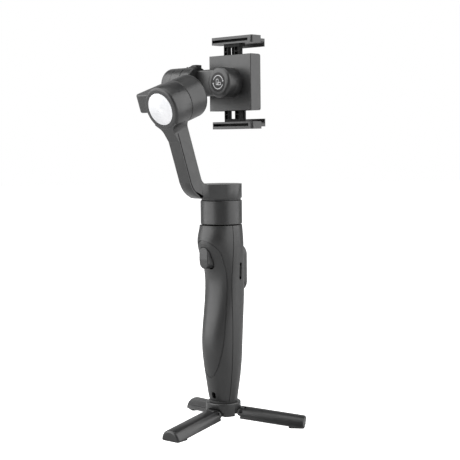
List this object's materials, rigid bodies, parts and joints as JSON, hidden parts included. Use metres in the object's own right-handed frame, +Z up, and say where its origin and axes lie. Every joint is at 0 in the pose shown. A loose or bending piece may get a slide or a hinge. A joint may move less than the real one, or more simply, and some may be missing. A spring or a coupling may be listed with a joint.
{
  "type": "gimbal stabilizer",
  "caption": "Handheld phone stabilizer with a telescoping grip, motorized pan, roll and tilt arms, a swivelling phone clamp and a folding tripod.",
  "frame": {"origin": "centre of the bounding box at the floor under the tripod's feet", "axes": "+Z up the grip, +Y towards the trigger and the roll motor, -Y towards the thumb controls and the phone, +X towards the tilt motor"},
  "size_m": [0.1375, 0.1291, 0.3538],
  "materials": {
    "grip_plastic": "fine matte texture",
    "arm_plastic": "fine matte texture",
    "black_plastic": "smooth matte",
    "rubber": "soft matte",
    "silver_disc": "spun satin",
    "steel": "ground",
    "stator_steel": "laminated",
    "magnet": "nickel plated",
    "brass": "turned",
    "circuit_board": "solder mask",
    "battery_wrap": "shrink wrap"
  },
  "bodies": {
    "handle": {"front_grip_shell": "grip_plastic", "rear_grip_shell": "grip_plastic", "control_panel": "grip_plastic", "control_board": "circuit_board", "base_cap": "grip_plastic", "thread_insert": "brass", "battery_cell": "battery_wrap", "pole_sleeve": "black_plastic", "trigger_pin": "steel", "tripod_hub": "arm_plastic", "tripod_stud": "steel", "hub_gasket": "rubber", "leg_pins": "steel"},
    "trigger": {"trigger": "grip_plastic"},
    "joystick_ring": {"joystick_ring": "black_plastic"},
    "joystick": {"joystick_cap": "black_plastic"},
    "record_button": {"record_button": "black_plastic"},
    "mode_button": {"mode_button": "black_plastic"},
    "zoom_slider": {"zoom_slider": "black_plastic"},
    "pole_lower": {"pole_stage_1": "black_plastic"},
    "pole_middle": {"pole_stage_2": "black_plastic"},
    "pan_base": {"pole_stage_3": "black_plastic", "pan_motor_housing": "arm_plastic", "pan_stator": "stator_steel", "pan_bearings": "steel"},
    "pan_arm": {"pan_arm": "arm_plastic", "pan_arm_cover": "arm_plastic", "pan_shaft": "steel", "pan_magnet_ring": "magnet", "roll_motor_disc": "silver_disc", "roll_stator": "stator_steel", "roll_bearings": "steel"},
    "roll_arm": {"roll_arm": "arm_plastic", "roll_shaft": "steel", "roll_magnet_ring": "magnet", "tilt_end_cap": "arm_plastic", "tilt_stator": "stator_steel", "tilt_bearings": "steel"},
    "tilt_arm": {"tilt_arm": "arm_plastic", "tilt_shaft": "steel", "tilt_magnet_ring": "magnet", "travel_stop": "rubber", "swivel_badge": "arm_plastic"},
    "clamp": {"clamp_frame": "arm_plastic", "swivel_pin": "steel", "clamp_back_plate": "black_plastic", "clamp_back_pad": "rubber"},
    "upper_jaw": {"upper_jaw": "arm_plastic", "upper_jaw_pad": "rubber", "upper_slide": "black_plastic"},
    "lower_jaw": {"lower_jaw": "arm_plastic", "lower_jaw_pad": "rubber", "lower_slide": "black_plastic"},
    "sync_pinion": {"sync_pinion": "black_plastic"},
    "leg_1": {"tripod_leg_1": "arm_plastic", "foot_pad_1": "rubber"},
    "leg_2": {"tripod_leg_2": "arm_plastic", "foot_pad_2": "rubber"},
    "leg_3": {"tripod_leg_3": "arm_plastic", "foot_pad_3": "rubber"}
  },
  "joints": [
    {"name": "pole_extend_lower", "type": "slide", "parent": "handle", "child": "pole_lower", "axis": [0, 0, 1], "range_m": [0, 0.061]},
    {"name": "pole_extend_middle", "type": "slide", "parent": "pole_lower", "child": "pole_middle", "axis": [0, 0, 1], "range_m": [0, 0.061]},
    {"name": "pole_extend_upper", "type": "slide", "parent": "pole_middle", "child": "pan_base", "axis": [0, 0, 1], "range_m": [0, 0.061]},
    {"name": "pan", "type": "hinge", "parent": "pan_base", "child": "pan_arm", "pos_m": [-0.00278, -0.01381, 0.312], "axis": [0, 0, 1], "range_deg": [-160, 160]},
    {"name": "roll", "type": "hinge", "parent": "pan_arm", "child": "roll_arm", "pos_m": [-0.00278, -0.01381, 0.312], "axis": [0, 0.9455, -0.3256], "range_deg": [-160, 160]},
    {"name": "tilt", "type": "hinge", "parent": "roll_arm", "child": "tilt_arm", "pos_m": [-0.00278, -0.01381, 0.312], "axis": [1, 0, 0], "range_deg": [-90, 55]},
    {"name": "clamp_swivel", "type": "hinge", "parent": "tilt_arm", "child": "clamp", "pos_m": [-0.00278, -0.01381, 0.312], "axis": [0, 1, 0], "range_deg": [0, 90]},
    {"name": "upper_jaw_slide", "type": "slide", "parent": "clamp", "child": "upper_jaw", "axis": [0, 0, 1], "range_m": [-0.0072, 0.0063]},
    {"name": "lower_jaw_slide", "type": "slide", "parent": "clamp", "child": "lower_jaw", "axis": [0, 0, -1], "range_m": [-0.0072, 0.0063]},
    {"name": "pinion_spin", "type": "hinge", "parent": "clamp", "child": "sync_pinion", "pos_m": [-0.00278, -0.01381, 0.312], "axis": [0, 1, 0], "range_deg": [-104, 119]},
    {"name": "trigger_pull", "type": "hinge", "parent": "handle", "child": "trigger", "pos_m": [-0.00278, 0.00219, 0.1602], "axis": [1, 0, 0], "range_deg": [-6, 0], "stiffness_Nm_per_rad": 0.2, "springref_deg": 8.59},
    {"name": "joystick_up_down", "type": "hinge", "parent": "handle", "child": "joystick_ring", "pos_m": [-0.00278, -0.03501, 0.1525], "axis": [1, 0, 0], "range_deg": [-12, 12], "stiffness_Nm_per_rad": 0.03},
    {"name": "joystick_left_right", "type": "hinge", "parent": "joystick_ring", "child": "joystick", "pos_m": [-0.00278, -0.03501, 0.1525], "axis": [0, 0, 1], "range_deg": [-12, 12], "stiffness_Nm_per_rad": 0.03},
    {"name": "record_press", "type": "slide", "parent": "handle", "child": "record_button", "axis": [0, 1, 0], "range_m": [0, 0.0005], "stiffness_N_per_m": 600, "springref_m": -0.001},
    {"name": "mode_press", "type": "slide", "parent": "handle", "child": "mode_button", "axis": [0, 1, 0], "range_m": [0, 0.0005], "stiffness_N_per_m": 600, "springref_m": -0.001},
    {"name": "zoom_slide", "type": "slide", "parent": "handle", "child": "zoom_slider", "axis": [0, 0, 1], "range_m": [-0.0025, 0.0025], "stiffness_N_per_m": 400},
    {"name": "leg_1_fold", "type": "hinge", "parent": "handle", "child": "leg_1", "pos_m": [-0.00438, 0.00312, 0.014], "axis": [-0.9956, -0.0941, 0], "range_deg": [0, 80]},
    {"name": "leg_2_fold", "type": "hinge", "parent": "handle", "child": "leg_2", "pos_m": [-0.01664, -0.02366, 0.014], "axis": [0.5793, -0.8151, 0], "range_deg": [0, 80]},
    {"name": "leg_3_fold", "type": "hinge", "parent": "handle", "child": "leg_3", "pos_m": [0.01268, -0.02089, 0.014], "axis": [0.4163, 0.9092, 0], "range_deg": [0, 80]}
  ],
  "couplings": [
    {"joint": "lower_jaw_slide", "follows": "upper_jaw_slide", "ratio": 1},
    {"joint": "pinion_spin", "follows": "upper_jaw_slide", "rad_per_m": -285.71}
  ]
}
